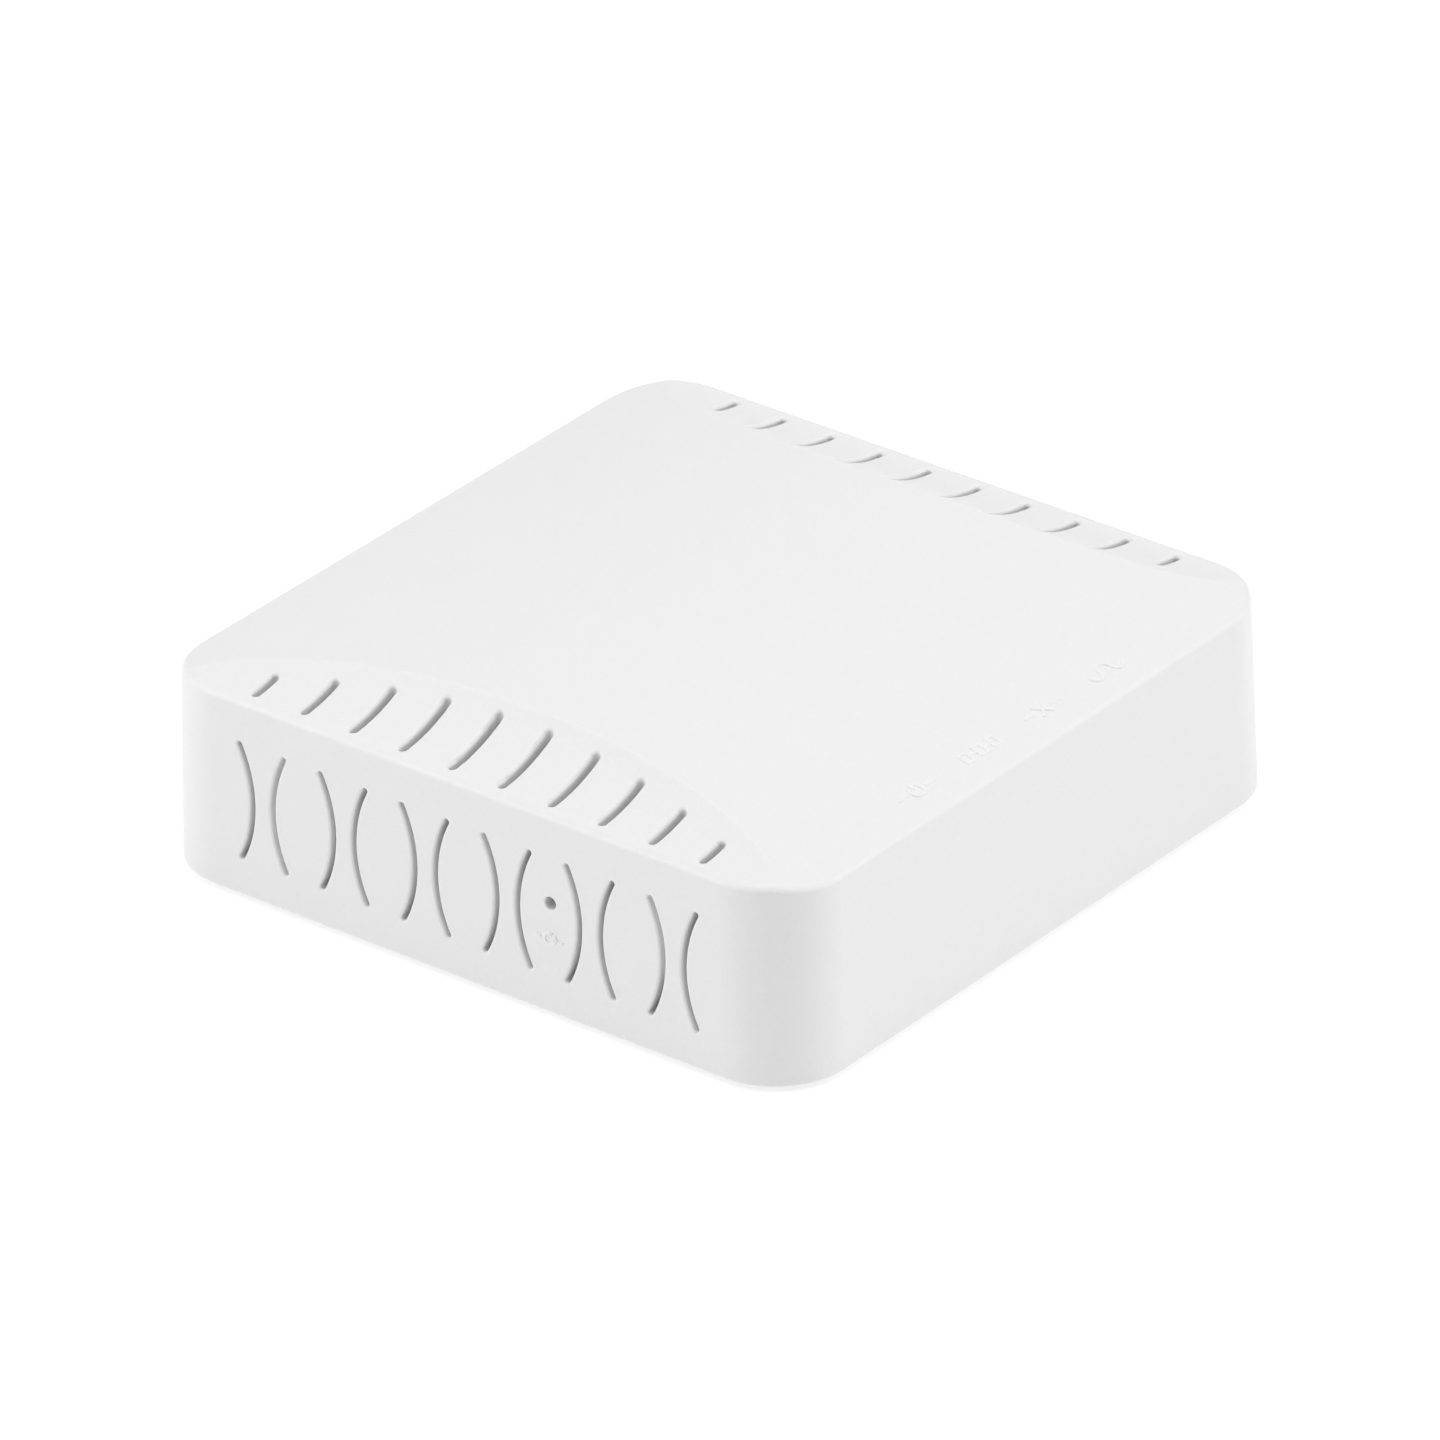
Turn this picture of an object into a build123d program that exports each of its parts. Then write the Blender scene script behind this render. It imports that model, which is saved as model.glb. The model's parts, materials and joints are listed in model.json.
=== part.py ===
from build123d import *
from math import radians, sqrt, tan
import os

# A small white single-port fibre network box, in millimetres.
# +X is right, +Y is towards the ports at the back, +Z is up.
# The origin is the centre of the footprint, on the surface the rubber feet stand on.

# ---- case ----
WIDTH = 82.0          # along X, at mid height
DEPTH = 82.0          # along Y, at mid height
DRAFT = 1.1           # lean of every side wall, in degrees
CORNER_R = 8.35       # upright corners
CASE_BASE = 0.5       # underside of the case, held up by the feet
RIM_Z = CASE_BASE + 22.2      # left and right rims
PEAK_Z = CASE_BASE + 25.8     # highest line of the arched roof
CROWN_R = 196.0       # the roof arches from front to back
SCOOP_R = 17.6        # hollow along each end of the roof
SCOOP_START = 0.5     # flat ledge between the rim and the scoop
RIM_FILLET = 0.95
BASE_FILLET = 0.3
WALL = 2.0
MID_Z = (CASE_BASE + RIM_Z) / 2
LEAN = tan(radians(DRAFT))

# ---- vents ----
ROOF_SLOTS = 10
ROOF_SLOT_PITCH = 6.34
ROOF_SLOT_WIDTH = 0.8
ROOF_SLOT_LIP = 0.45      # rounding of the slots' outer edges
ROOF_SLOT_OUTER = 1.75    # from the rim to the slots' outer ends
ROOF_SLOT_REACH = 10.1    # from the rim to the longest slot's inner end
ROOF_SLOT_ARC = 90.0      # the inner ends lie on this radius
SIDE_PAIRS = 6
SIDE_PITCH = 10.5
SIDE_SPREAD = 2.87        # half the distance between the ends of one pair
SIDE_LOW = CASE_BASE + 4.4
SIDE_HIGH = CASE_BASE + 17.2
SIDE_BULGE = 1.55
SIDE_WIDTH = 0.6
SIDE_LIP = 0.25
VENT_Y = -0.2             # both rows of slots sit a little nearer the front
RIB_Y = 24.1              # inner ribs close the slots behind the last board posts
RIB_HALF = 1.7
RIB_OUTSIDE = -39.8
RIB_INSIDE = -38.2
REAR_RIB_LOW = CASE_BASE + 4.1
FRONT_RIB_LOW = CASE_BASE + 8.0
FLOOR_SLOTS = 9
FLOOR_SLOT_PITCH = 4.0

# ---- fasteners and feet ----
PLATE = 2.0               # thickness of the bottom cover
LIP = 1.0                 # the case wall beside the bottom cover
PLATE_GAP = 0.15
PLATE_TOP = CASE_BASE + PLATE
PAD = 1.5                 # extra thickness around each case screw
BOSS_AT = 32.65
BOSS_R = 2.8
HEAD_R = 2.3
HEAD_H = 1.6
SHANK_R = 1.05
SHANK_LONG = 8.0
FOOT_AT = 27.0
FOOT_R = 4.0
FOOT_RECESS = 0.4

# ---- circuit board ----
BOARD_BASE = CASE_BASE + 4.7
BOARD_TOP = BOARD_BASE + 1.6
BOARD_HALF_X = 37.5
BOARD_BACK = 37.0
BOARD_FRONT = -37.4
BOARD_NOTCH = 28.2        # square notches clear the case bosses
STANDOFFS = [(-30, 22), (31, 20), (-30, -25), (30, -25)]

# ---- processor and its heat sink ----
SOC_X = 2.0
SOC_Y = -7.0
SOC_SIZE = 14.0
SOC_TALL = 1.2
THERMAL_PAD = 0.5
SINK_SIZE = 18.0
SINK_BASE = 1.5
SINK_TALL = 7.0
SINK_FINS = 7

# ---- reset switch, on the left ----
RESET_Y = -11.0
RESET_Z = CASE_BASE + 12.4
RESET_HOLE_R = 0.7
RESET_LIP = 0.15
SWITCH_FRONT = -36.8
SWITCH_BACK = -33.4
SWITCH_HALF = 3.0
CHAMBER_R = 2.4
STEM_R = 1.65

# ---- indicators, along the front ----
LIGHT_X = [-15.45, -5.15, 5.15, 15.45]
LIGHT_Y = -33.5
GUIDE_LOW = BOARD_TOP + 4.9
GUIDE_HIGH = BOARD_TOP + 6.9
GUIDE_HALF = 19.0
SIGN_Y = -37.1
SIGN_RAISE = 0.12
SIGN_SLOPE = 0.1          # sloping sides of the raised strokes
RESET_SIGN_SLOPE = 0.06
STROKE = 0.38

# ---- ports, along the back ----
PORT_FACE = 40.9
WINDOW_GAP = 0.15
FIBRE_X = -21.5
FIBRE_Z = BOARD_TOP + 4.7
FIBRE_W = 13.0
FIBRE_H = 9.4
FIBRE_BACK = 27.0
SLEEVE_R = 1.6
LAN_X = 2.0
LAN_W = 15.9
LAN_H = 13.4
LAN_BACK = 23.0
LAN_SKIN = 0.25
LAN_CAVITY_W = 11.9
LAN_CAVITY_LOW = BOARD_TOP + 2.5
LAN_CAVITY_HIGH = BOARD_TOP + 10.7
LAN_CAVITY_BACK = 28.4
LAN_LAMP_LOW = BOARD_TOP + 11.3
LAN_LAMP_HIGH = BOARD_TOP + 12.9
LAN_LAMP_LONG = 6.0
JACK_X = 23.5
JACK_Z = BOARD_TOP + 6.5
JACK_W = 9.0
JACK_H = 11.0
JACK_BACK = 25.0
JACK_COLLAR_R = 4.0
JACK_BORE_R = 3.15
JACK_BORE_BACK = 31.0
JACK_PIN_R = 1.0
JACK_ROOT_R = 0.8
JACK_PIN_TIP = 40.0


def block(low, high):
    """Box between two opposite corners."""
    size = [b - a for a, b in zip(low, high)]
    middle = [(a + b) / 2 for a, b in zip(low, high)]
    return Pos(*middle) * Box(*size)


def post(x, y, low, high, radius):
    """Upright cylinder."""
    return Pos(x, y, (low + high) / 2) * Cylinder(radius, high - low)


def rod_x(y, z, low, high, radius):
    """Cylinder along X."""
    return Pos((low + high) / 2, y, z) * Rotation(0, 90, 0) * Cylinder(radius, high - low)


def rod_y(x, z, low, high, radius):
    """Cylinder along Y."""
    return Pos(x, (low + high) / 2, z) * Rotation(90, 0, 0) * Cylinder(radius, high - low)


def roof_height(y):
    """Height of the arched roof at a distance from the middle."""
    return PEAK_Z - CROWN_R + sqrt(CROWN_R**2 - y**2)


def half_width(z):
    """Half the width or depth of the case at a height."""
    return WIDTH / 2 - LEAN * (z - MID_Z)


def leaning_block(inset, low, high):
    """Rounded block with leaning sides, inset from the outside of the case."""
    sections = []
    for z in (low, high):
        shrink = LEAN * (z - MID_Z) + inset
        outline = RectangleRounded(WIDTH - 2 * shrink, DEPTH - 2 * shrink, CORNER_R - inset)
        sections.append(Pos(0, 0, z) * outline)
    return loft(sections, ruled=True)


def under_roof(body, drop):
    """Trim a body to the arched and scooped roof, lowered by a distance."""
    long = 2 * DEPTH
    body = body & rod_x(0, PEAK_Z - CROWN_R, -long, long, CROWN_R - drop)
    scoop_x = half_width(RIM_Z) - SCOOP_START
    for side in (-1, 1):
        scoop = rod_y(side * scoop_x, RIM_Z + SCOOP_R, -long, long, SCOOP_R + drop)
        ledge = Pos(side * (scoop_x + WIDTH / 2), 0, RIM_Z - drop + WIDTH / 2) * Box(WIDTH, long, WIDTH)
        body = body - (scoop + ledge)
    return body


def shared_edges(some_faces, other_faces):
    """Edges that lie between two groups of faces."""
    others = [edge for face in other_faces for edge in face.edges()]
    mine = [edge for face in some_faces for edge in face.edges()]
    return [edge for edge in mine if any(edge.is_same(other) for other in others)]


def case_outside():
    """Outer shape of the case, with a soft rim and a soft lower edge."""
    body = under_roof(leaning_block(0, CASE_BASE, PEAK_Z + WALL), 0)
    walls = [face for face in body.faces() if abs(face.normal_at(None).Z) < 0.3]
    roof = [face for face in body.faces() if face.normal_at(None).Z > 0.3]
    body = fillet(shared_edges(walls, roof), RIM_FILLET)
    walls = [face for face in body.faces() if abs(face.normal_at(None).Z) < 0.3]
    underside = [face for face in body.faces() if face.normal_at(None).Z < -0.9]
    return fillet(shared_edges(walls, underside), BASE_FILLET)


def roof_slots():
    """Rows of straight slots in the two scoops, their inner ends on a curve."""
    rim_x = half_width(RIM_Z)
    slots = []
    for i in range(ROOF_SLOTS):
        y = VENT_Y + (i - (ROOF_SLOTS - 1) / 2) * ROOF_SLOT_PITCH
        reach = ROOF_SLOT_REACH - ROOF_SLOT_ARC + sqrt(ROOF_SLOT_ARC**2 - y**2)
        long = reach - ROOF_SLOT_OUTER
        for side in (-1, 1):
            x = side * (rim_x - ROOF_SLOT_OUTER - long / 2)
            outline = Pos(x, y, RIM_Z - 2 * WALL) * SlotOverall(long, ROOF_SLOT_WIDTH)
            slots.append(extrude(outline, PEAK_Z - RIM_Z + 3 * WALL))
    return slots


def side_slots():
    """Pairs of bowed slots back to back along the left wall."""
    slots = []
    middle = (SIDE_LOW + SIDE_HIGH) / 2
    for i in range(SIDE_PAIRS):
        pair = VENT_Y + (i - (SIDE_PAIRS - 1) / 2) * SIDE_PITCH
        for side in (-1, 1):
            end = pair + side * SIDE_SPREAD
            bow = ThreePointArc((end, SIDE_LOW), (end - side * SIDE_BULGE, middle), (end, SIDE_HIGH))
            outline = Plane.YZ * SlotArc(bow, SIDE_WIDTH)
            slots.append(extrude(Pos(-WIDTH / 2 - WALL, 0, 0) * outline, 3 * WALL))
    return slots


def soften_lips(body, radius, chosen, sides):
    """Round the outer edges of the chosen faces' openings that have a number of sides."""
    holes = [wire for face in body.faces() if chosen(face) for wire in face.inner_wires()]
    return fillet([edge for wire in holes if len(wire.edges()) == sides for edge in wire.edges()], radius)


def in_roof(face):
    """Whether a face belongs to the roof."""
    return face.center().Z > RIM_Z


def in_left_wall(face):
    """Whether a face belongs to the left wall."""
    return face.center().X < -WIDTH * 0.49


def pierced_outside():
    """Outer shape with the vents and the reset hole cut in and their lips softened."""
    body = soften_lips(case_outside() - roof_slots(), ROOF_SLOT_LIP, in_roof, 4)
    body = soften_lips(body - side_slots(), SIDE_LIP, in_left_wall, 4)
    hole = rod_x(RESET_Y, RESET_Z, -WIDTH, 2 * WALL - WIDTH / 2, RESET_HOLE_R)
    return soften_lips(body - hole, RESET_LIP, in_left_wall, 1)


def ring(radius):
    """Flat ring of one stroke's width."""
    return Circle(radius + STROKE / 2) - Circle(radius - STROKE / 2)


def bar(x0, x1, y=0.0):
    """Flat horizontal stroke."""
    return Pos((x0 + x1) / 2, y) * Rectangle(x1 - x0, STROKE)


def power_sign():
    """Open ring with an upright bar, on a line."""
    symbol = ring(0.85) - Pos(0, 0.85) * Rectangle(1.0, 0.9)
    symbol += Pos(0, 0.65) * Rectangle(STROKE, 1.0)
    return symbol + bar(-2.9, -1.35) + bar(1.35, 2.9)


def network_sign():
    """Three squares on a line."""
    symbol = bar(-2.2, 2.2)
    for x in (-2.2, 0, 2.2):
        symbol += Pos(x, 0) * Rectangle(1.4, 1.8)
        symbol -= Pos(x, 0) * Rectangle(1.4 - 2 * STROKE, 1.8 - 2 * STROKE)
    return symbol


def loss_sign():
    """Cross in a broken line."""
    symbol = bar(-2.9, -1.3) + bar(1.3, 2.9)
    for turn in (-45, 45):
        symbol += Rot(0, 0, turn) * Rectangle(2.5, STROKE)
    return symbol


def wave_sign():
    """Wave of half rings."""
    symbol = Sketch()
    for i, x in enumerate((-1.7, 0, 1.7)):
        upward = 1 if i % 2 else -1
        symbol += Pos(x, 0) * (ring(0.85) & Pos(0, upward) * Rectangle(4, 2))
    return symbol


def turn_sign():
    """Circling arrow."""
    symbol = ring(0.65) - Pos(0.7, 0.35) * Rectangle(1.0, 0.7)
    head = Polygon((0.35, 0.05), (1.05, 0.05), (0.7, 0.6), align=None)
    return symbol + head + bar(-1.75, -1.1) + bar(1.2, 1.75)


def raised_sign(plane, sign, slope):
    """Sign whose strokes have sloping sides, on a plane one stroke height under the surface."""
    body = extrude(plane * sign, 2 * SIGN_RAISE)
    tops = [face for face in body.faces() if face.normal_at(None).dot(plane.z_dir) > 0.9]
    return chamfer([edge for face in tops for edge in face.edges()], slope)


def roof_signs():
    """Raised indicator signs in a row beside the front rim."""
    upright = (0, SIGN_Y, sqrt(CROWN_R**2 - SIGN_Y**2))
    signs = []
    for x, sign in zip(LIGHT_X, (power_sign(), network_sign(), loss_sign(), wave_sign())):
        under = (x, SIGN_Y, roof_height(SIGN_Y) - SIGN_RAISE)
        signs.append(raised_sign(Plane(origin=under, x_dir=(1, 0, 0), z_dir=upright), sign, SIGN_SLOPE))
    return signs


def reset_sign():
    """Raised sign under the reset hole."""
    z = RESET_Z - 4.0
    under = (SIGN_RAISE - half_width(z), RESET_Y + 0.1, z)
    facing_left = Plane(origin=under, x_dir=(0, -1, 0), z_dir=(-1, 0, 0))
    return raised_sign(facing_left, turn_sign(), RESET_SIGN_SLOPE)


def corners(distance):
    """Four places at one distance from both middle planes."""
    return [(x * distance, y * distance) for x in (-1, 1) for y in (-1, 1)]


def slot_ribs():
    """Two upright ribs on the inside of the left wall, behind a side slot each."""
    ribs = []
    for y, low in ((RIB_Y, REAR_RIB_LOW), (-RIB_Y, FRONT_RIB_LOW)):
        ribs.append(block((RIB_OUTSIDE, y - RIB_HALF, low), (RIB_INSIDE, y + RIB_HALF, RIM_Z - WALL / 2)))
    return ribs


def top_cover():
    """Case shell: walls, arched roof, vents, ribs, port windows and screw bosses."""
    hollow = under_roof(leaning_block(WALL, CASE_BASE - WALL, PEAK_Z + WALL), WALL)
    shell = pierced_outside() - hollow - leaning_block(LIP, CASE_BASE - WALL, PLATE_TOP)
    for x, y in corners(BOSS_AT):
        boss = post(x, y, PLATE_TOP + PAD, RIM_Z - WALL / 2, BOSS_R)
        shell += boss
        shell -= post(x, y, PLATE_TOP, PLATE_TOP + PAD + SHANK_LONG + 1, SHANK_R + 0.05)
    for x in LIGHT_X:
        shell -= post(x, LIGHT_Y, RIM_Z - 2 * WALL, roof_height(LIGHT_Y) - 0.8, 1.7)
    shell += slot_ribs()
    shell -= port_windows()
    shell += roof_signs()
    shell += reset_sign()
    return shell


def port_windows():
    """Tools that open the back wall for the three ports."""
    outer = DEPTH / 2 + WALL
    inner = DEPTH / 2 - 2 * WALL
    windows = []
    for x, z, wide, tall in (
        (FIBRE_X, FIBRE_Z, FIBRE_W, FIBRE_H),
        (LAN_X, BOARD_TOP + LAN_H / 2, LAN_W, LAN_H),
    ):
        half_w = wide / 2 + WINDOW_GAP
        half_h = tall / 2 + WINDOW_GAP
        windows.append(block((x - half_w, inner, z - half_h), (x + half_w, outer, z + half_h)))
    windows.append(rod_y(JACK_X, JACK_Z, inner, outer, JACK_COLLAR_R + WINDOW_GAP))
    return windows


def bottom_cover():
    """Floor plate with a locating rim, board posts, vents, screw pockets and foot recesses."""
    inset = LIP + PLATE_GAP
    plate = leaning_block(inset, CASE_BASE, PLATE_TOP)
    rim_top = PLATE_TOP + PAD
    rim = leaning_block(WALL + PLATE_GAP, PLATE_TOP, rim_top)
    rim -= leaning_block(WALL + PLATE_GAP + 1.2, PLATE_TOP - 1, rim_top + 1)
    plate += rim
    for x, y in corners(BOSS_AT):
        plate += post(x, y, PLATE_TOP, rim_top, HEAD_R + 1.2)
        plate -= post(x, y, CASE_BASE - 1, CASE_BASE + 0.3 + HEAD_H, HEAD_R + 0.2)
        plate -= post(x, y, CASE_BASE, rim_top + 1, SHANK_R + 0.35)
    for x, y in STANDOFFS:
        plate += post(x, y, PLATE_TOP, BOARD_BASE, 2.5)
        plate -= post(x, y, PLATE_TOP, BOARD_BASE + 1, 0.9)
    for x, y in corners(FOOT_AT):
        plate -= post(x, y, CASE_BASE - 1, CASE_BASE + FOOT_RECESS, FOOT_R + 0.1)
    for i in range(FLOOR_SLOTS):
        y = (i - (FLOOR_SLOTS - 1) / 2) * FLOOR_SLOT_PITCH
        for x in (-10, 10):
            plate -= extrude(Pos(x, y, CASE_BASE - 1) * SlotOverall(14, 1.6), PLATE + 2)
    return plate


def screw(x, y, top, radius, height, shank, shank_long, points_up):
    """Pan-head screw with a cross recess; top is where the head meets the part."""
    way = 1 if points_up else -1
    head = post(x, y, min(top, top - way * height), max(top, top - way * height), radius)
    outer_face = head.faces().sort_by(Axis.Z)[0 if points_up else -1]
    head = fillet(outer_face.edges(), 0.3 * height)
    body = head + post(x, y, min(top, top + way * shank_long), max(top, top + way * shank_long), shank)
    recess_z = top - way * height
    for wide, deep in ((1.3 * radius, 0.3 * radius), (0.3 * radius, 1.3 * radius)):
        body -= Pos(x, y, recess_z) * Box(wide, deep, height)
    return body


def case_screws():
    """Four screws from below into the bosses of the case."""
    seat = CASE_BASE + 0.3 + HEAD_H
    return Compound([
        screw(x, y, seat, HEAD_R, HEAD_H, SHANK_R, SHANK_LONG, True) for x, y in corners(BOSS_AT)
    ])


def board_screws():
    """Four screws that hold the circuit board on its posts."""
    return Compound([
        screw(x, y, BOARD_TOP, 1.9, 1.3, 0.85, 4.0, False) for x, y in STANDOFFS
    ])


def rubber_feet():
    """Four round feet stuck into the recesses of the floor."""
    feet = []
    for x, y in corners(FOOT_AT):
        foot = post(x, y, 0, CASE_BASE + FOOT_RECESS, FOOT_R)
        feet.append(chamfer(foot.faces().sort_by(Axis.Z)[0].edges(), 0.3))
    return Compound(feet)


def rating_label():
    """Blank label on the underside."""
    outline = Pos(0, -27, CASE_BASE - 0.15) * RectangleRounded(34, 14, 1.0)
    return extrude(outline, 0.15)


def main_board():
    """Board notched at its corners around the case bosses, with screw holes."""
    board = block((-BOARD_HALF_X, BOARD_FRONT, BOARD_BASE), (BOARD_HALF_X, BOARD_BACK, BOARD_TOP))
    for sx in (-1, 1):
        for sy in (-1, 1):
            middle = (sx * (BOARD_NOTCH + 10), sy * (BOARD_NOTCH + 10), BOARD_TOP)
            board -= Pos(*middle) * Box(20, 20, 10)
    for x, y in STANDOFFS:
        board -= post(x, y, BOARD_BASE - 1, BOARD_TOP + 1, 1.2)
    return board


def chip(x, y, wide, deep, tall, base=BOARD_TOP):
    """Chip package with softened upper edges."""
    body = block((x - wide / 2, y - deep / 2, base), (x + wide / 2, y + deep / 2, base + tall))
    return chamfer(body.faces().sort_by(Axis.Z)[-1].edges(), 0.1)


def small_chips():
    """Power converters and line driver, one package each."""
    places = [(22, 9, 3.0, 3.0), (13, 4, 3.0, 3.0), (-22, 4.5, 5.0, 5.0), (-3, -22, 4.0, 4.0)]
    return Compound([chip(x, y, wide, deep, 0.9) for x, y, wide, deep in places])


def heat_sink():
    """Finned aluminium block over the main chip."""
    base = BOARD_TOP + SOC_TALL + THERMAL_PAD
    half = SINK_SIZE / 2
    body = block((SOC_X - half, SOC_Y - half, base), (SOC_X + half, SOC_Y + half, base + SINK_BASE))
    fin = SINK_SIZE / (2 * SINK_FINS - 1)
    for i in range(SINK_FINS):
        x = SOC_X - half + 2 * fin * i
        body += block((x, SOC_Y - half, base), (x + fin, SOC_Y + half, base + SINK_TALL))
    return body


def gull_legs(x, y, wide, deep, count):
    """Bent metal legs along both long sides of a package."""
    legs = []
    pitch = wide / count
    for i in range(count):
        leg_x = x - wide / 2 + pitch * (i + 0.5)
        for side in (-1, 1):
            inner = y + side * deep / 2
            outer = inner + side * 0.9
            y0, y1 = sorted((inner, outer))
            legs.append(block((leg_x - 0.2, y0, BOARD_TOP), (leg_x + 0.2, y1, BOARD_TOP + 0.25)))
    return legs


def crystal_can():
    """Flat oval metal can."""
    outline = Pos(16, -20, BOARD_TOP) * SlotOverall(11, 4.6)
    can = extrude(outline, 3.4)
    return fillet(can.faces().sort_by(Axis.Z)[-1].edges(), 0.6)


def capacitor_cans():
    """Two upright electrolytic capacitors."""
    cans = []
    for y in (9, -2):
        can = post(31, y, BOARD_TOP, BOARD_TOP + 11.5, 4.0)
        cans.append(fillet(can.faces().sort_by(Axis.Z)[-1].edges(), 0.5))
    return Compound(cans)


def power_inductor():
    """Square wound inductor with a round core."""
    body = chip(21, -3, 7.0, 7.0, 1.2)
    body += post(21, -3, BOARD_TOP + 1.2, BOARD_TOP + 3.6, 2.6)
    return body + chip(21, -3, 6.4, 6.4, 0.8, BOARD_TOP + 3.6)


def chip_parts(places, wide, deep, tall):
    """Small two-ended parts, each a separate solid."""
    return Compound([
        block((x - wide / 2, y - deep / 2, BOARD_TOP), (x + wide / 2, y + deep / 2, BOARD_TOP + tall))
        for x, y in places
    ])


def resistor_places():
    """A row beside the front lights and a row beside the fibre driver."""
    front = [(x + offset, LIGHT_Y + 5) for x in LIGHT_X for offset in (-1.5, 1.5)]
    driver = [(-33 + 2.4 * i, 1.0) for i in range(4)]
    return front + driver


def ceramic_places():
    """A ring around the main chip and a row beside the power converters."""
    around = [(SOC_X + side * 11.5, SOC_Y - 6 + 4 * i) for side in (-1, 1) for i in range(4)]
    power = [(17.5 + 2.6 * i, 13.5) for i in range(4)]
    return around + power


def lamp(x):
    """Surface-mounted indicator lamp with a domed top."""
    return chip(x, LIGHT_Y, 3.0, 1.6, 1.1)


def light_guide():
    """Four clear pipes on a bar, carrying the lamps' light to thin spots of the roof."""
    guide = block((-GUIDE_HALF, LIGHT_Y - 0.8, GUIDE_LOW), (GUIDE_HALF, LIGHT_Y + 0.8, GUIDE_HIGH))
    for x in LIGHT_X:
        guide += post(x, LIGHT_Y, BOARD_TOP + 1.5, roof_height(LIGHT_Y) - 1.0, 1.25)
    for x in (1 - GUIDE_HALF, GUIDE_HALF - 1):
        guide += block((x - 0.8, LIGHT_Y - 0.8, BOARD_TOP), (x + 0.8, LIGHT_Y + 0.8, GUIDE_LOW + 1))
    return guide


def reset_switch_body():
    """Tall side-pressed switch body with a round chamber open to the left."""
    low = (SWITCH_FRONT, RESET_Y - SWITCH_HALF, BOARD_TOP)
    high = (SWITCH_BACK, RESET_Y + SWITCH_HALF, RESET_Z + SWITCH_HALF)
    return block(low, high) - rod_x(RESET_Y, RESET_Z, SWITCH_FRONT - 1, SWITCH_FRONT + 2.4, CHAMBER_R)


def reset_switch_frame():
    """Bent steel plate that keeps the plunger in the body, with two side tabs."""
    thick = 0.3
    side = SWITCH_HALF + thick
    front = block(
        (SWITCH_FRONT - thick, RESET_Y - side, BOARD_TOP),
        (SWITCH_FRONT, RESET_Y + side, RESET_Z + SWITCH_HALF),
    )
    front -= rod_x(RESET_Y, RESET_Z, SWITCH_FRONT - 1, SWITCH_FRONT + 1, STEM_R + 0.1)
    for way in (-1, 1):
        inner = RESET_Y + way * SWITCH_HALF
        outer = RESET_Y + way * side
        y0, y1 = sorted((inner, outer))
        front += block((SWITCH_FRONT - thick, y0, BOARD_TOP), (SWITCH_BACK - 0.8, y1, RESET_Z + 2))
    return front


def reset_plunger():
    """Round button with a collar behind the steel frame."""
    stem = rod_x(RESET_Y, RESET_Z, SWITCH_FRONT - 1.6, SWITCH_FRONT + 0.6, STEM_R)
    return stem + rod_x(RESET_Y, RESET_Z, SWITCH_FRONT + 0.05, SWITCH_FRONT + 0.6, CHAMBER_R - 0.15)


def reset_dome():
    """Thin snap dome at the bottom of the switch chamber."""
    floor = SWITCH_FRONT + 2.4
    radius = 3.4
    rim = CHAMBER_R - 0.3
    middle = Pos(floor + sqrt(radius**2 - rim**2), RESET_Y, RESET_Z)
    keep = rod_x(RESET_Y, RESET_Z, floor - radius, floor, CHAMBER_R)
    outer = (middle * Sphere(radius)) & keep
    inner = (middle * Sphere(radius - 0.12)) & keep
    return outer - inner


def fibre_adapter():
    """Square-mouthed fibre socket with a keyway and an inner tube around the sleeve."""
    low_z = FIBRE_Z - FIBRE_H / 2
    high_z = FIBRE_Z + FIBRE_H / 2
    body = block((FIBRE_X - FIBRE_W / 2, FIBRE_BACK, low_z), (FIBRE_X + FIBRE_W / 2, PORT_FACE, high_z))
    mouth_back = FIBRE_BACK + 2.5
    body -= block((FIBRE_X - 4.6, mouth_back, FIBRE_Z - 3.8), (FIBRE_X + 4.6, PORT_FACE + 1, FIBRE_Z + 3.8))
    body -= block((FIBRE_X - 1.1, mouth_back, FIBRE_Z), (FIBRE_X + 1.1, PORT_FACE + 1, FIBRE_Z + 4.3))
    body += rod_y(FIBRE_X, FIBRE_Z, mouth_back - 1, mouth_back + 7, 2.3)
    body -= rod_y(FIBRE_X, FIBRE_Z, FIBRE_BACK - 1, mouth_back + 8, SLEEVE_R)
    for side in (-1, 1):
        x = FIBRE_X + side * FIBRE_W / 2
        body -= block((x - 0.7, FIBRE_BACK + 4, low_z - 1), (x + 0.7, FIBRE_BACK + 9, high_z + 1))
    return body


def fibre_sleeve():
    """Split ceramic sleeve that lines up the two fibre ends."""
    tube = rod_y(FIBRE_X, FIBRE_Z, FIBRE_BACK - 3, FIBRE_BACK + 9, SLEEVE_R)
    tube -= rod_y(FIBRE_X, FIBRE_Z, FIBRE_BACK - 4, FIBRE_BACK + 10, 1.25)
    slit = block((FIBRE_X - 0.15, FIBRE_BACK - 4, FIBRE_Z), (FIBRE_X + 0.15, FIBRE_BACK + 10, FIBRE_Z + 3))
    return tube - slit


def optical_module():
    """Metal block of the optical transceiver behind the socket."""
    half = 3.25
    low = (FIBRE_X - half, FIBRE_BACK - 10, FIBRE_Z - half)
    body = block(low, (FIBRE_X + half, FIBRE_BACK, FIBRE_Z + half))
    body -= rod_y(FIBRE_X, FIBRE_Z, FIBRE_BACK - 3, FIBRE_BACK + 1, SLEEVE_R)
    return body


def optical_mount():
    """Plastic cradle under the optical module."""
    half = 3.25
    low = (FIBRE_X - half, FIBRE_BACK - 9, BOARD_TOP)
    return block(low, (FIBRE_X + half, FIBRE_BACK - 1, FIBRE_Z - half))


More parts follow.
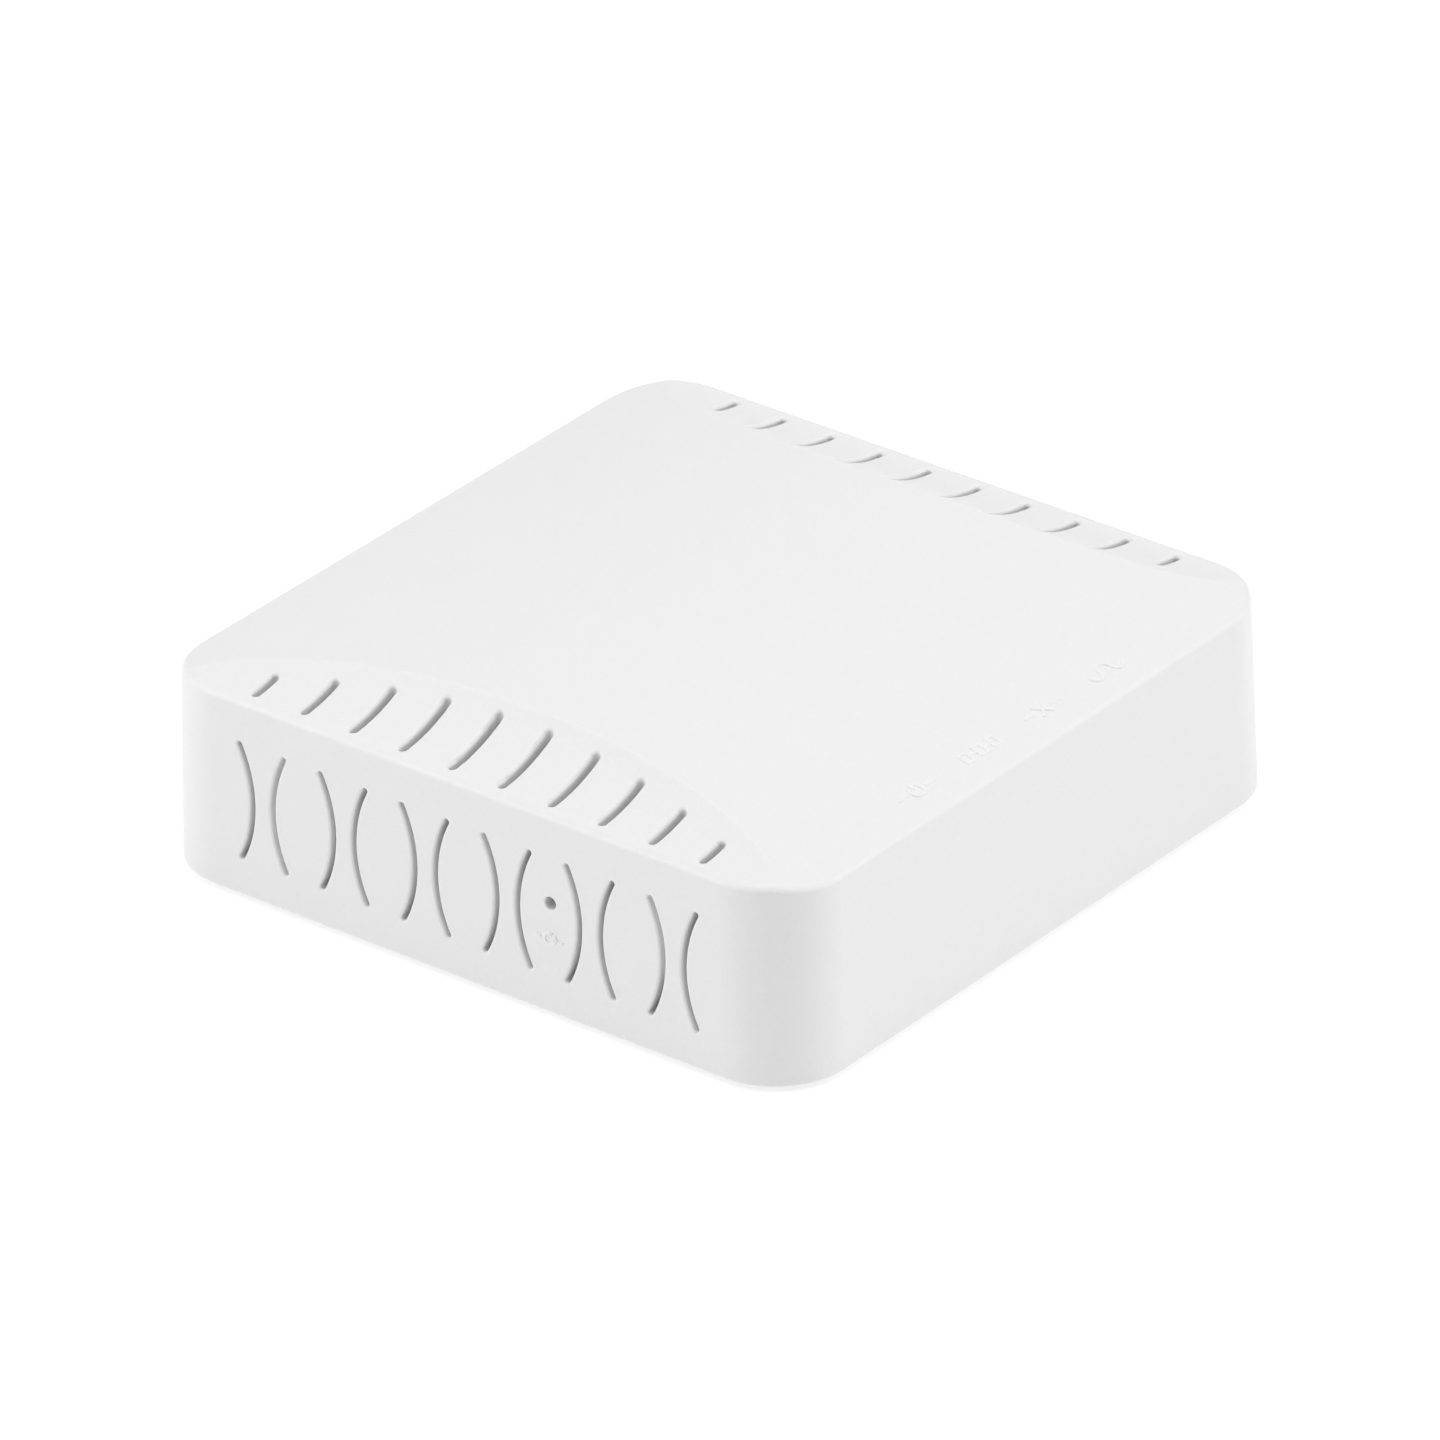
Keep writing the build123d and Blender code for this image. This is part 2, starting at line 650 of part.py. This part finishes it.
def diode_can(place):
    """Round sealed can with a flange and four leads, pointing along +Z before it is placed."""
    can = Pos(0, 0, 1.9) * Cylinder(2.3, 3.8) + Pos(0, 0, 4.2) * Cylinder(2.8, 0.8)
    leads = [Pos(x, y, 6.1) * Cylinder(0.22, 3.0) for x in (-0.9, 0.9) for y in (-0.9, 0.9)]
    return Compound([place * can] + [place * lead for lead in leads])


def laser_can():
    """Transmitting diode on the end of the module."""
    return diode_can(Pos(FIBRE_X, FIBRE_BACK - 10, FIBRE_Z) * Rotation(90, 0, 0))


def detector_can():
    """Receiving diode on the side of the module."""
    return diode_can(Pos(FIBRE_X + 3.25, FIBRE_BACK - 6, FIBRE_Z) * Rotation(0, 90, 0))


def lan_frame(inset):
    """Outer box of the network socket, inset by a distance on the four long sides."""
    half = LAN_W / 2 - inset
    low_z = BOARD_TOP + inset
    high_z = BOARD_TOP + LAN_H - inset
    return (LAN_X - half, LAN_BACK + inset, low_z), (LAN_X + half, PORT_FACE, high_z)


def lan_housing():
    """Network socket: cavity, latch slot and two lamp pockets above."""
    body = block(*lan_frame(LAN_SKIN))
    half = LAN_CAVITY_W / 2
    mouth = PORT_FACE + 1
    body -= block((LAN_X - half, LAN_CAVITY_BACK, LAN_CAVITY_LOW), (LAN_X + half, mouth, LAN_CAVITY_HIGH))
    latch_low = (LAN_X - 3.15, LAN_CAVITY_BACK + 4, LAN_CAVITY_LOW - 1.7)
    body -= block(latch_low, (LAN_X + 3.15, mouth, LAN_CAVITY_LOW + 1))
    for x in lan_lamp_places():
        body -= block((x - 1.3, PORT_FACE - LAN_LAMP_LONG, LAN_LAMP_LOW), (x + 1.3, mouth, LAN_LAMP_HIGH))
    return body


def lan_lamp_places():
    """The two lamps sit above the corners of the socket's mouth."""
    return [LAN_X - 5.6, LAN_X + 5.6]


def lan_lamps():
    """Two small lamps in the socket's face."""
    return Compound([
        block((x - 1.3, PORT_FACE - LAN_LAMP_LONG, LAN_LAMP_LOW), (x + 1.3, PORT_FACE, LAN_LAMP_HIGH))
        for x in lan_lamp_places()
    ])


def lan_shield():
    """Folded steel skin around the socket, open at its mouth."""
    return block(*lan_frame(0)) - block(*lan_frame(LAN_SKIN))


def lan_contacts():
    """Eight slanting contact springs under the cavity's ceiling."""
    contacts = []
    top = LAN_CAVITY_HIGH
    slope = [(38.6, top), (38.0, top), (30.0, top - 1.7), (30.1, top - 2.0)]
    for i in range(8):
        x = LAN_X + (i - 3.5) * 1.02
        outline = Plane.YZ * Polygon(*slope, align=None)
        contacts.append(extrude(Pos(x - 0.23, 0, 0) * outline, 0.46))
    return Compound(contacts)


def jack_housing():
    """Power socket: square body, round collar through the wall and a deep bore."""
    half = JACK_W / 2
    shoulder = half_width(JACK_Z + JACK_H / 2) - WALL - 0.1
    body = block((JACK_X - half, JACK_BACK, BOARD_TOP), (JACK_X + half, shoulder, BOARD_TOP + JACK_H))
    body += rod_y(JACK_X, JACK_Z, shoulder - 1, PORT_FACE, JACK_COLLAR_R)
    body -= rod_y(JACK_X, JACK_Z, JACK_BORE_BACK, PORT_FACE + 1, JACK_BORE_R)
    body -= rod_y(JACK_X, JACK_Z, JACK_BACK + 2, JACK_BORE_BACK + 1, JACK_ROOT_R)
    slot_low = JACK_Z - JACK_BORE_R - 0.4
    return body - block((JACK_X - 1.3, JACK_BORE_BACK, slot_low), (JACK_X + 1.3, 38, JACK_Z - 2))


def jack_pin():
    """Centre pin with a rounded tip and a thinner root held in the housing."""
    pin = rod_y(JACK_X, JACK_Z, JACK_BORE_BACK, JACK_PIN_TIP, JACK_PIN_R)
    pin = fillet(pin.faces().sort_by(Axis.Y)[-1].edges(), 0.4)
    return pin + rod_y(JACK_X, JACK_Z, JACK_BACK + 2, JACK_BORE_BACK, JACK_ROOT_R)


def jack_contact():
    """Leaf spring along the floor of the bore."""
    low = JACK_Z - JACK_BORE_R - 0.4
    return block((JACK_X - 1.2, JACK_BORE_BACK, low), (JACK_X + 1.2, 37.8, low + 0.35))


def lan_transformer():
    """Isolating transformer package with legs along two sides."""
    body = chip(LAN_X, 15, 12.6, 7.0, 5.6)
    return Compound([body] + gull_legs(LAN_X, 15, 12.6, 7.0, 8))


def flash_chip():
    """Small memory with eight legs."""
    body = chip(-15, -21, 5.2, 5.2, 1.8)
    return Compound([body] + gull_legs(-15, -21, 5.2, 5.2, 4))


def all_parts():
    """Every node of the object and its solids."""
    return {
        "top_cover": top_cover(),
        "bottom_cover": bottom_cover(),
        "case_screws": case_screws(),
        "rubber_feet": rubber_feet(),
        "rating_label": rating_label(),
        "main_board": main_board(),
        "board_screws": board_screws(),
        "main_chip": chip(SOC_X, SOC_Y, SOC_SIZE, SOC_SIZE, SOC_TALL),
        "thermal_pad": block(
            (SOC_X - SOC_SIZE / 2, SOC_Y - SOC_SIZE / 2, BOARD_TOP + SOC_TALL),
            (SOC_X + SOC_SIZE / 2, SOC_Y + SOC_SIZE / 2, BOARD_TOP + SOC_TALL + THERMAL_PAD),
        ),
        "heat_sink": heat_sink(),
        "memory_chip": chip(-16, -7, 8.0, 13.0, 1.2),
        "flash_chip": flash_chip(),
        "small_chips": small_chips(),
        "lan_transformer": lan_transformer(),
        "crystal_can": crystal_can(),
        "capacitor_cans": capacitor_cans(),
        "power_inductor": power_inductor(),
        "chip_resistors": chip_parts(resistor_places(), 0.9, 1.7, 0.5),
        "chip_ceramics": chip_parts(ceramic_places(), 1.3, 2.0, 1.0),
        "indicator_lamps": Compound([lamp(x) for x in LIGHT_X]),
        "light_guide": light_guide(),
        "reset_switch_body": reset_switch_body(),
        "reset_switch_frame": reset_switch_frame(),
        "reset_plunger": reset_plunger(),
        "reset_dome": reset_dome(),
        "fibre_adapter": fibre_adapter(),
        "fibre_sleeve": fibre_sleeve(),
        "optical_module": optical_module(),
        "optical_mount": optical_mount(),
        "laser_can": laser_can(),
        "detector_can": detector_can(),
        "lan_housing": lan_housing(),
        "lan_lamps": lan_lamps(),
        "lan_shield": lan_shield(),
        "lan_contacts": lan_contacts(),
        "jack_housing": jack_housing(),
        "jack_pin": jack_pin(),
        "jack_contact": jack_contact(),
    }


os.makedirs("parts", exist_ok=True)
for node, shape in all_parts().items():
    export_step(shape, f"parts/{node}.step")
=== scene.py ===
import json
from math import cos, radians, sin

import bpy
from mathutils import Matrix, Vector

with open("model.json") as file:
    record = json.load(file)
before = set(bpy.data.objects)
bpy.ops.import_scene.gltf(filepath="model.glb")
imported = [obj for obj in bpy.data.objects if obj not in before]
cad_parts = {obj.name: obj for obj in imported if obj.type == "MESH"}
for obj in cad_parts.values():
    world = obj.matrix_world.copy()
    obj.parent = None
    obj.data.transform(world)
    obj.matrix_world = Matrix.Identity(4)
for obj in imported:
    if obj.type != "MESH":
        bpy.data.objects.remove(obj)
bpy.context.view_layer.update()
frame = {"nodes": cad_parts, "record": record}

MM = 0.001


# ---- material values ----
NOISE_RANGE = (0.3, 0.7)  # where most of a noise lies
# moulded plastic
GRAIN_SIZE = 0.18 * MM
GRAIN_DEPTH = 0.006 * MM
CLOUD_SIZE = 14 * MM
CLOUD_DEPTH = 0.02 * MM
SPECK_SIZE = 1.4  # in grains
SPECK_RANGE = (0.25, 0.75)
SPECK_TONE = 1.02  # times the light tone
GLOSS_SIZE = 2.5 * MM
# handled edges and rims: more gloss, and a lighter tone that is edge wear and painted highlight on
# the edges, painted highlight on the rims
EDGE_RADIUS = 0.5 * MM
EDGE_SAMPLES = 4
EDGE_ALIKE = (0.90, 0.995)  # dot product of softened and true normal: full edge mask, no edge mask (edge wear and painted highlight)
# strength of the painted highlight on rims that face up and outwards
RIM_PAINTED_HIGHLIGHT = 0.55
RIM_FROM_WALL = (0.3, 0.5)  # upward part of the normal: no painted rim highlight, full painted rim highlight
RIM_TO_ROOF = (0.72, 0.82)  # upward part of the normal: full painted rim highlight, no painted rim highlight
PATCH_SIZE = 1.2 * MM
PATCH_RANGE = (0.35, 0.6)
PATCH_LEAST = 0.5
WEAR_GLOSS = 0.75  # times the lowest roughness
# metal
LINE_SIZE = 0.12 * MM
LINE_STRETCH = (1, 12, 1)
LINE_DEPTH = 0.003 * MM
TARNISH_SIZE = 3 * MM
# circuit board
MASK_GREEN = (0.010, 0.085, 0.034)
TRACK_GREEN = (0.018, 0.135, 0.055)
TRACK_LENGTH = 7.0  # the board's texture counts in millimetres
TRACK_PITCH = 0.4
TRACK_MARGIN = 0.12  # bare distance on each side of a track
TRACK_DEPTH = 0.02 * MM
TRACK_PLACES = 6 * MM
TRACK_PLACES_RANGE = (0.46, 0.48)
MASK_GLOSS_SIZE = 1.5 * MM
MASK_ROUGH = (0.22, 0.34)
# clear plastic
CLEAR_TINT = (0.93, 0.96, 0.97, 1)
CLEAR_ROUGH = (0.05, 0.16)
CLEAR_GLOSS_SIZE = 2 * MM
CLEAR_WAVE_SIZE = 1 * MM
CLEAR_WAVE_DEPTH = 0.01 * MM
# dark plastic
DARK_ROUGH = (0.38, 0.55)
DARK_GRAIN = 0.12 * MM
DARK_GRAIN_DEPTH = 0.01 * MM
DARK_SPAN = 2.2  # light tone over dark tone


# ---- node helpers ----
def start_material(name, **values):
    """A node material whose shader sockets hold the given even values."""
    material = bpy.data.materials.new(name)
    material.use_nodes = True
    shader = material.node_tree.nodes["Principled BSDF"]
    for socket, value in values.items():
        shader.inputs[socket.replace("_", " ")].default_value = value
    return material, shader


def add_node(material, kind, **settings):
    """A new node with some of its properties set."""
    node = material.node_tree.nodes.new(kind)
    for key, value in settings.items():
        setattr(node, key, value)
    return node


def grey(level):
    """A neutral colour."""
    return (level, level, level)


def noise(material, size, detail=2.0, stretch=(1, 1, 1)):
    """Noise whose features are about size metres across, in the object's own frame."""
    links = material.node_tree.links
    coordinates = add_node(material, "ShaderNodeTexCoord")
    mapping = add_node(material, "ShaderNodeMapping")
    mapping.inputs["Scale"].default_value = [1 / (size * way) for way in stretch]
    texture = add_node(material, "ShaderNodeTexNoise")
    texture.inputs["Scale"].default_value = 1.0
    texture.inputs["Detail"].default_value = detail
    links.new(coordinates.outputs["Object"], mapping.inputs["Vector"])
    links.new(mapping.outputs["Vector"], texture.inputs["Vector"])
    return texture.outputs["Fac"]


def spread(material, source, low, high, start=NOISE_RANGE[0], end=NOISE_RANGE[1]):
    """Map a signal from start..end onto low..high."""
    node = add_node(material, "ShaderNodeMapRange")
    limits = (("From Min", start), ("From Max", end), ("To Min", low), ("To Max", high))
    for name, value in limits:
        node.inputs[name].default_value = value
    material.node_tree.links.new(source, node.inputs["Value"])
    return node.outputs["Result"]


def tint(material, source, dark, light):
    """Map a noise onto the colours between two tones."""
    return blend(material, spread(material, source, 0, 1), dark, light)


def blend(material, factor, first, second):
    """Second colour or number over the first, by a factor."""
    node = add_node(material, "ShaderNodeMix", data_type="RGBA")
    links = material.node_tree.links
    links.new(factor, node.inputs["Factor"])
    for name, value in (("A", first), ("B", second)):
        if isinstance(value, tuple):
            node.inputs[name].default_value = (*value, 1)
        else:
            links.new(value, node.inputs[name])
    return node.outputs["Result"]


def combine(material, operation, first, second):
    """Two signals joined by a math operation."""
    node = add_node(material, "ShaderNodeMath", operation=operation)
    material.node_tree.links.new(first, node.inputs[0])
    material.node_tree.links.new(second, node.inputs[1])
    return node.outputs["Value"]


def bump(material, shader, *layers):
    """Surface relief from layers of (height signal, depth in metres)."""
    previous = None
    for signal, depth in layers:
        node = add_node(material, "ShaderNodeBump")
        node.inputs["Strength"].default_value = 1.0
        node.inputs["Distance"].default_value = depth
        material.node_tree.links.new(signal, node.inputs["Height"])
        if previous is not None:
            material.node_tree.links.new(previous, node.inputs["Normal"])
        previous = node.outputs["Normal"]
    material.node_tree.links.new(previous, shader.inputs["Normal"])


# ---- wear and painted highlights ----
def edge_wear_and_highlight(material):
    """1 along sharp edges, 0 on open faces and gentle curves: the mask of edge wear and painted
    edge highlight.
    """
    links = material.node_tree.links
    softened = add_node(material, "ShaderNodeBevel", samples=EDGE_SAMPLES)
    softened.inputs["Radius"].default_value = EDGE_RADIUS
    geometry = add_node(material, "ShaderNodeNewGeometry")
    alike = add_node(material, "ShaderNodeVectorMath", operation="DOT_PRODUCT")
    links.new(softened.outputs["Normal"], alike.inputs[0])
    links.new(geometry.outputs["Normal"], alike.inputs[1])
    return spread(material, alike.outputs["Value"], 1, 0, *EDGE_ALIKE)


def rim_painted_highlight(material):
    """Painted highlight on roundings that face up and outwards, up to the rim strength, 0 on the
    walls, the roof and the scoops.
    """
    links = material.node_tree.links
    geometry = add_node(material, "ShaderNodeNewGeometry")
    normal = add_node(material, "ShaderNodeSeparateXYZ")
    links.new(geometry.outputs["Normal"], normal.inputs["Vector"])
    off_wall = spread(material, normal.outputs["Z"], 0, RIM_PAINTED_HIGHLIGHT, *RIM_FROM_WALL)
    off_roof = spread(material, normal.outputs["Z"], 1, 0, *RIM_TO_ROOF)
    return combine(material, "MULTIPLY", off_wall, off_roof)


def patchy_wear_and_highlight(material):
    """Edge wear and painted highlight on edges and rims, uneven along their length."""
    patches = spread(material, noise(material, PATCH_SIZE, 4), PATCH_LEAST, 1, *PATCH_RANGE)
    edges = combine(material, "MAXIMUM", edge_wear_and_highlight(material), rim_painted_highlight(material))
    return combine(material, "MULTIPLY", edges, patches)


# ---- materials ----
def moulded(name, dark, light, rough=(0.42, 0.52), grain=GRAIN_SIZE, depth=GRAIN_DEPTH,
            worn=None, **values):
    """Moulded plastic with grain, cloudiness, specks, uneven gloss and, if given an edge tone,
    glossier handled edges and rims in that lighter tone, which is edge wear and painted highlight.
    """
    material, shader = start_material(name, **values)
    links = material.node_tree.links
    cloud = noise(material, CLOUD_SIZE, 3)
    fine = noise(material, grain)
    specks = spread(material, noise(material, SPECK_SIZE * grain, 1), 0, 1, *SPECK_RANGE)
    speck_tone = tuple(SPECK_TONE * level for level in light)
    colour = blend(material, specks, tint(material, cloud, dark, light), speck_tone)
    gloss = spread(material, noise(material, GLOSS_SIZE, 4), *rough)
    if worn is not None:
        # edges and rims get the lighter tone, which is painted highlight and partly edge wear, and
        # more gloss
        wear_and_highlight = patchy_wear_and_highlight(material)
        colour = blend(material, wear_and_highlight, colour, worn)
        gloss = blend(material, wear_and_highlight, gloss, grey(WEAR_GLOSS * rough[0]))
    links.new(colour, shader.inputs["Base Color"])
    links.new(gloss, shader.inputs["Roughness"])
    bump(material, shader, (cloud, CLOUD_DEPTH), (fine, depth))
    return material


def dark_moulded(name, level):
    """Dark filled plastic with a visible grain."""
    return moulded(name, grey(level), grey(DARK_SPAN * level), DARK_ROUGH, DARK_GRAIN,
                   DARK_GRAIN_DEPTH)


def metal(name, dark, light, rough=(0.22, 0.38)):
    """Worked metal: drawn lines, uneven gloss and faint tarnish."""
    material, shader = start_material(name, Metallic=1.0)
    links = material.node_tree.links
    lines = noise(material, LINE_SIZE, 3, LINE_STRETCH)
    tarnish = noise(material, TARNISH_SIZE, 4)
    links.new(tint(material, tarnish, dark, light), shader.inputs["Base Color"])
    links.new(spread(material, lines, *rough), shader.inputs["Roughness"])
    bump(material, shader, (lines, LINE_DEPTH))
    return material


def circuit_board(name):
    """Green solder mask with fine copper tracks under it in places."""
    material, shader = start_material(name, IOR=1.5)
    links = material.node_tree.links
    coordinates = add_node(material, "ShaderNodeTexCoord")
    rows = add_node(material, "ShaderNodeTexBrick")
    sizes = (("Scale", 1 / MM), ("Brick Width", TRACK_LENGTH), ("Row Height", TRACK_PITCH),
             ("Mortar Size", TRACK_MARGIN))
    for socket, value in sizes:
        rows.inputs[socket].default_value = value
    links.new(coordinates.outputs["Object"], rows.inputs["Vector"])
    places = spread(material, noise(material, TRACK_PLACES, 1), 0, 1, *TRACK_PLACES_RANGE)
    covered = spread(material, rows.outputs["Fac"], 1, 0, 0, 1)
    tracks = combine(material, "MULTIPLY", places, covered)
    gloss = spread(material, noise(material, MASK_GLOSS_SIZE, 3), *MASK_ROUGH)
    links.new(blend(material, tracks, MASK_GREEN, TRACK_GREEN), shader.inputs["Base Color"])
    links.new(gloss, shader.inputs["Roughness"])
    bump(material, shader, (tracks, TRACK_DEPTH))
    return material


def clear_plastic(name):
    """Clear moulded light guide."""
    material, shader = start_material(
        name, Base_Color=CLEAR_TINT, Transmission_Weight=1.0, IOR=1.49)
    gloss = spread(material, noise(material, CLEAR_GLOSS_SIZE, 3), *CLEAR_ROUGH)
    material.node_tree.links.new(gloss, shader.inputs["Roughness"])
    bump(material, shader, (noise(material, CLEAR_WAVE_SIZE), CLEAR_WAVE_DEPTH))
    return material


SLOTS = {
    # material slot of the record: what makes it, and with which values
    # case
    # the shell's edges and rims are painted lighter (grey 0.90): painted highlight, partly edge
    # wear
    "white_shell": (moulded, dict(
        dark=grey(0.826), light=grey(0.831), rough=(0.36, 0.44), grain=0.24 * MM,
        depth=0.022 * MM, worn=grey(0.90), IOR=1.46)),
    "white_floor": (moulded, dict(dark=(0.80, 0.80, 0.795), light=(0.83, 0.83, 0.825), IOR=1.46)),
    "screw_steel": (metal, dict(dark=(0.42, 0.43, 0.45), light=grey(0.62))),
    "foot_rubber": (moulded, dict(
        dark=(0.10, 0.10, 0.105), light=(0.15, 0.15, 0.155), rough=(0.7, 0.85),
        grain=0.25 * MM, depth=0.02 * MM)),
    "blank_label": (moulded, dict(
        dark=(0.66, 0.67, 0.68), light=(0.72, 0.73, 0.74), rough=(0.25, 0.35),
        grain=0.5 * MM, depth=0.004 * MM)),
    # board
    "board_green": (circuit_board, {}),
    "chip_black": (dark_moulded, dict(level=0.012)),
    "pad_blue": (moulded, dict(
        dark=(0.20, 0.36, 0.50), light=(0.26, 0.43, 0.57), rough=(0.6, 0.75))),
    "sink_aluminium": (metal, dict(dark=(0.50, 0.51, 0.52), light=(0.68, 0.69, 0.70))),
    "can_steel": (metal, dict(
        dark=(0.52, 0.52, 0.50), light=(0.70, 0.70, 0.68), rough=(0.15, 0.3))),
    "cap_sleeve": (dark_moulded, dict(level=0.01)),
    "ferrite_grey": (dark_moulded, dict(level=0.03)),
    "resistor_black": (dark_moulded, dict(level=0.015)),
    "ceramic_tan": (moulded, dict(
        dark=(0.36, 0.24, 0.13), light=(0.44, 0.31, 0.18), rough=(0.3, 0.45))),
    "lamp_cream": (moulded, dict(
        dark=(0.72, 0.66, 0.36), light=(0.80, 0.75, 0.45), rough=(0.2, 0.3))),
    "clear_guide": (clear_plastic, {}),
    # reset switch
    "switch_black": (dark_moulded, dict(level=0.015)),
    "switch_steel": (metal, dict(dark=(0.55, 0.55, 0.54), light=(0.72, 0.72, 0.71))),
    # fibre socket
    "fibre_blue": (moulded, dict(
        dark=(0.010, 0.06, 0.30), light=(0.015, 0.085, 0.38), rough=(0.35, 0.48))),
    "zirconia": (moulded, dict(
        dark=(0.82, 0.80, 0.74), light=(0.88, 0.86, 0.81), rough=(0.15, 0.25))),
    "module_steel": (metal, dict(dark=(0.48, 0.47, 0.45), light=(0.63, 0.62, 0.60))),
    "diode_gold": (metal, dict(
        dark=(0.72, 0.50, 0.20), light=(0.85, 0.64, 0.30), rough=(0.15, 0.28))),
    # network and power sockets
    "socket_black": (dark_moulded, dict(level=0.011)),
    "socket_steel": (metal, dict(
        dark=(0.50, 0.51, 0.52), light=(0.68, 0.69, 0.70), rough=(0.2, 0.36))),
    "contact_gold": (metal, dict(
        dark=(0.80, 0.56, 0.20), light=(0.90, 0.68, 0.30), rough=(0.12, 0.22))),
    "lamp_green": (moulded, dict(
        dark=(0.05, 0.28, 0.06), light=(0.08, 0.36, 0.09), rough=(0.18, 0.28))),
    "nickel": (metal, dict(
        dark=(0.60, 0.59, 0.55), light=(0.74, 0.72, 0.68), rough=(0.1, 0.2))),
}


def paint_nodes():
    """Give every CAD node the material of its slot."""
    materials = {slot: maker(slot, **values) for slot, (maker, values) in SLOTS.items()}
    for part in frame["record"]["subparts"]:
        node = frame["nodes"][part["node"]]
        node.data.materials.clear()
        node.data.materials.append(materials[part["material_slot"]])


# ---- camera ----
AZIMUTH = radians(-51.09)
ELEVATION = radians(28.96)
ROLL = radians(-1.28)
DISTANCE = 1.4271
LENS = 352.9
SENSOR = 36
AIM_HEIGHT = 11.7 * MM
CLIP_START = 0.1


def direction(azimuth, elevation):
    """Unit vector from the object towards a bearing, 0 at -Y and 90 degrees at +X."""
    across = cos(elevation)
    return Vector((sin(azimuth) * across, -cos(azimuth) * across, sin(elevation)))


def add_camera():
    """A long lens from the front left, above the object."""
    back = direction(AZIMUTH, ELEVATION)
    right = Vector((cos(AZIMUTH), sin(AZIMUTH), 0))
    up = back.cross(right)
    leaned_right = right * cos(ROLL) + up * sin(ROLL)
    leaned_up = up * cos(ROLL) - right * sin(ROLL)
    turn = Matrix((leaned_right, leaned_up, back)).transposed().to_4x4()
    camera = bpy.data.objects.new("camera", bpy.data.cameras.new("camera"))
    camera.matrix_world = Matrix.Translation(Vector((0, 0, AIM_HEIGHT)) + back * DISTANCE) @ turn
    camera.data.lens = LENS
    camera.data.sensor_width = SENSOR
    camera.data.clip_start = CLIP_START
    bpy.context.scene.collection.objects.link(camera)
    bpy.context.scene.camera = camera


# ---- stage and light ----
FLOOR_SIZE = 6.0
FLOOR_DROP = 0.05 * MM  # keeps the floor's surface apart from the feet's
FLOOR_TONE = (0.6, 0.6, 0.6, 1)
FLOOR_GLOW = 0.50
WHITE = (1, 1, 1, 1)
ROOM_LIGHT = 0.26
SOFTBOXES = {
    # name: azimuth and elevation in degrees, distance and size in metres, power in watts
    "left_low": (-139, 25, 1.3, 1.2, 5.5),
    "left_high": (-139, 50, 1.3, 1.2, 3.2),
    "right_wide": (34, 30, 3.0, 3.2, 39.7),
    "right_high": (70, 50, 2.0, 1.6, 4.4),
    "behind_right": (110, 30, 1.5, 0.9, 0.8),
    "overhead": (0, 89, 1.3, 0.8, 6.3),
}


def add_floor():
    """Plain pale floor, faintly lit from inside like a light table."""
    bpy.ops.mesh.primitive_plane_add(size=FLOOR_SIZE, location=(0, 0, -FLOOR_DROP))
    floor = bpy.context.object
    floor.name = "floor"
    material, _ = start_material(
        "floor_white", Base_Color=FLOOR_TONE, Roughness=0.9, Specular_IOR_Level=0.1,
        Emission_Color=WHITE, Emission_Strength=FLOOR_GLOW,
    )
    floor.data.materials.append(material)


def add_softbox(name, azimuth, elevation, distance, size, power):
    """Square light that faces the object."""
    lamp = bpy.data.lights.new(name, "AREA")
    lamp.size = size
    lamp.energy = power
    light = bpy.data.objects.new(name, lamp)
    back = direction(radians(azimuth), radians(elevation))
    light.location = back * distance
    light.rotation_euler = back.to_track_quat("Z", "Y").to_euler()
    light.visible_camera = False
    bpy.context.scene.collection.objects.link(light)


def add_light():
    """Even room light and the softboxes."""
    world = bpy.data.worlds.new("room")
    world.use_nodes = True
    sky = world.node_tree.nodes["Background"]
    sky.inputs["Color"].default_value = WHITE
    sky.inputs["Strength"].default_value = ROOM_LIGHT
    bpy.context.scene.world = world
    for name, settings in SOFTBOXES.items():
        add_softbox(name, *settings)
    bpy.context.scene.view_settings.view_transform = "Standard"


add_camera()
paint_nodes()
add_floor()
add_light()
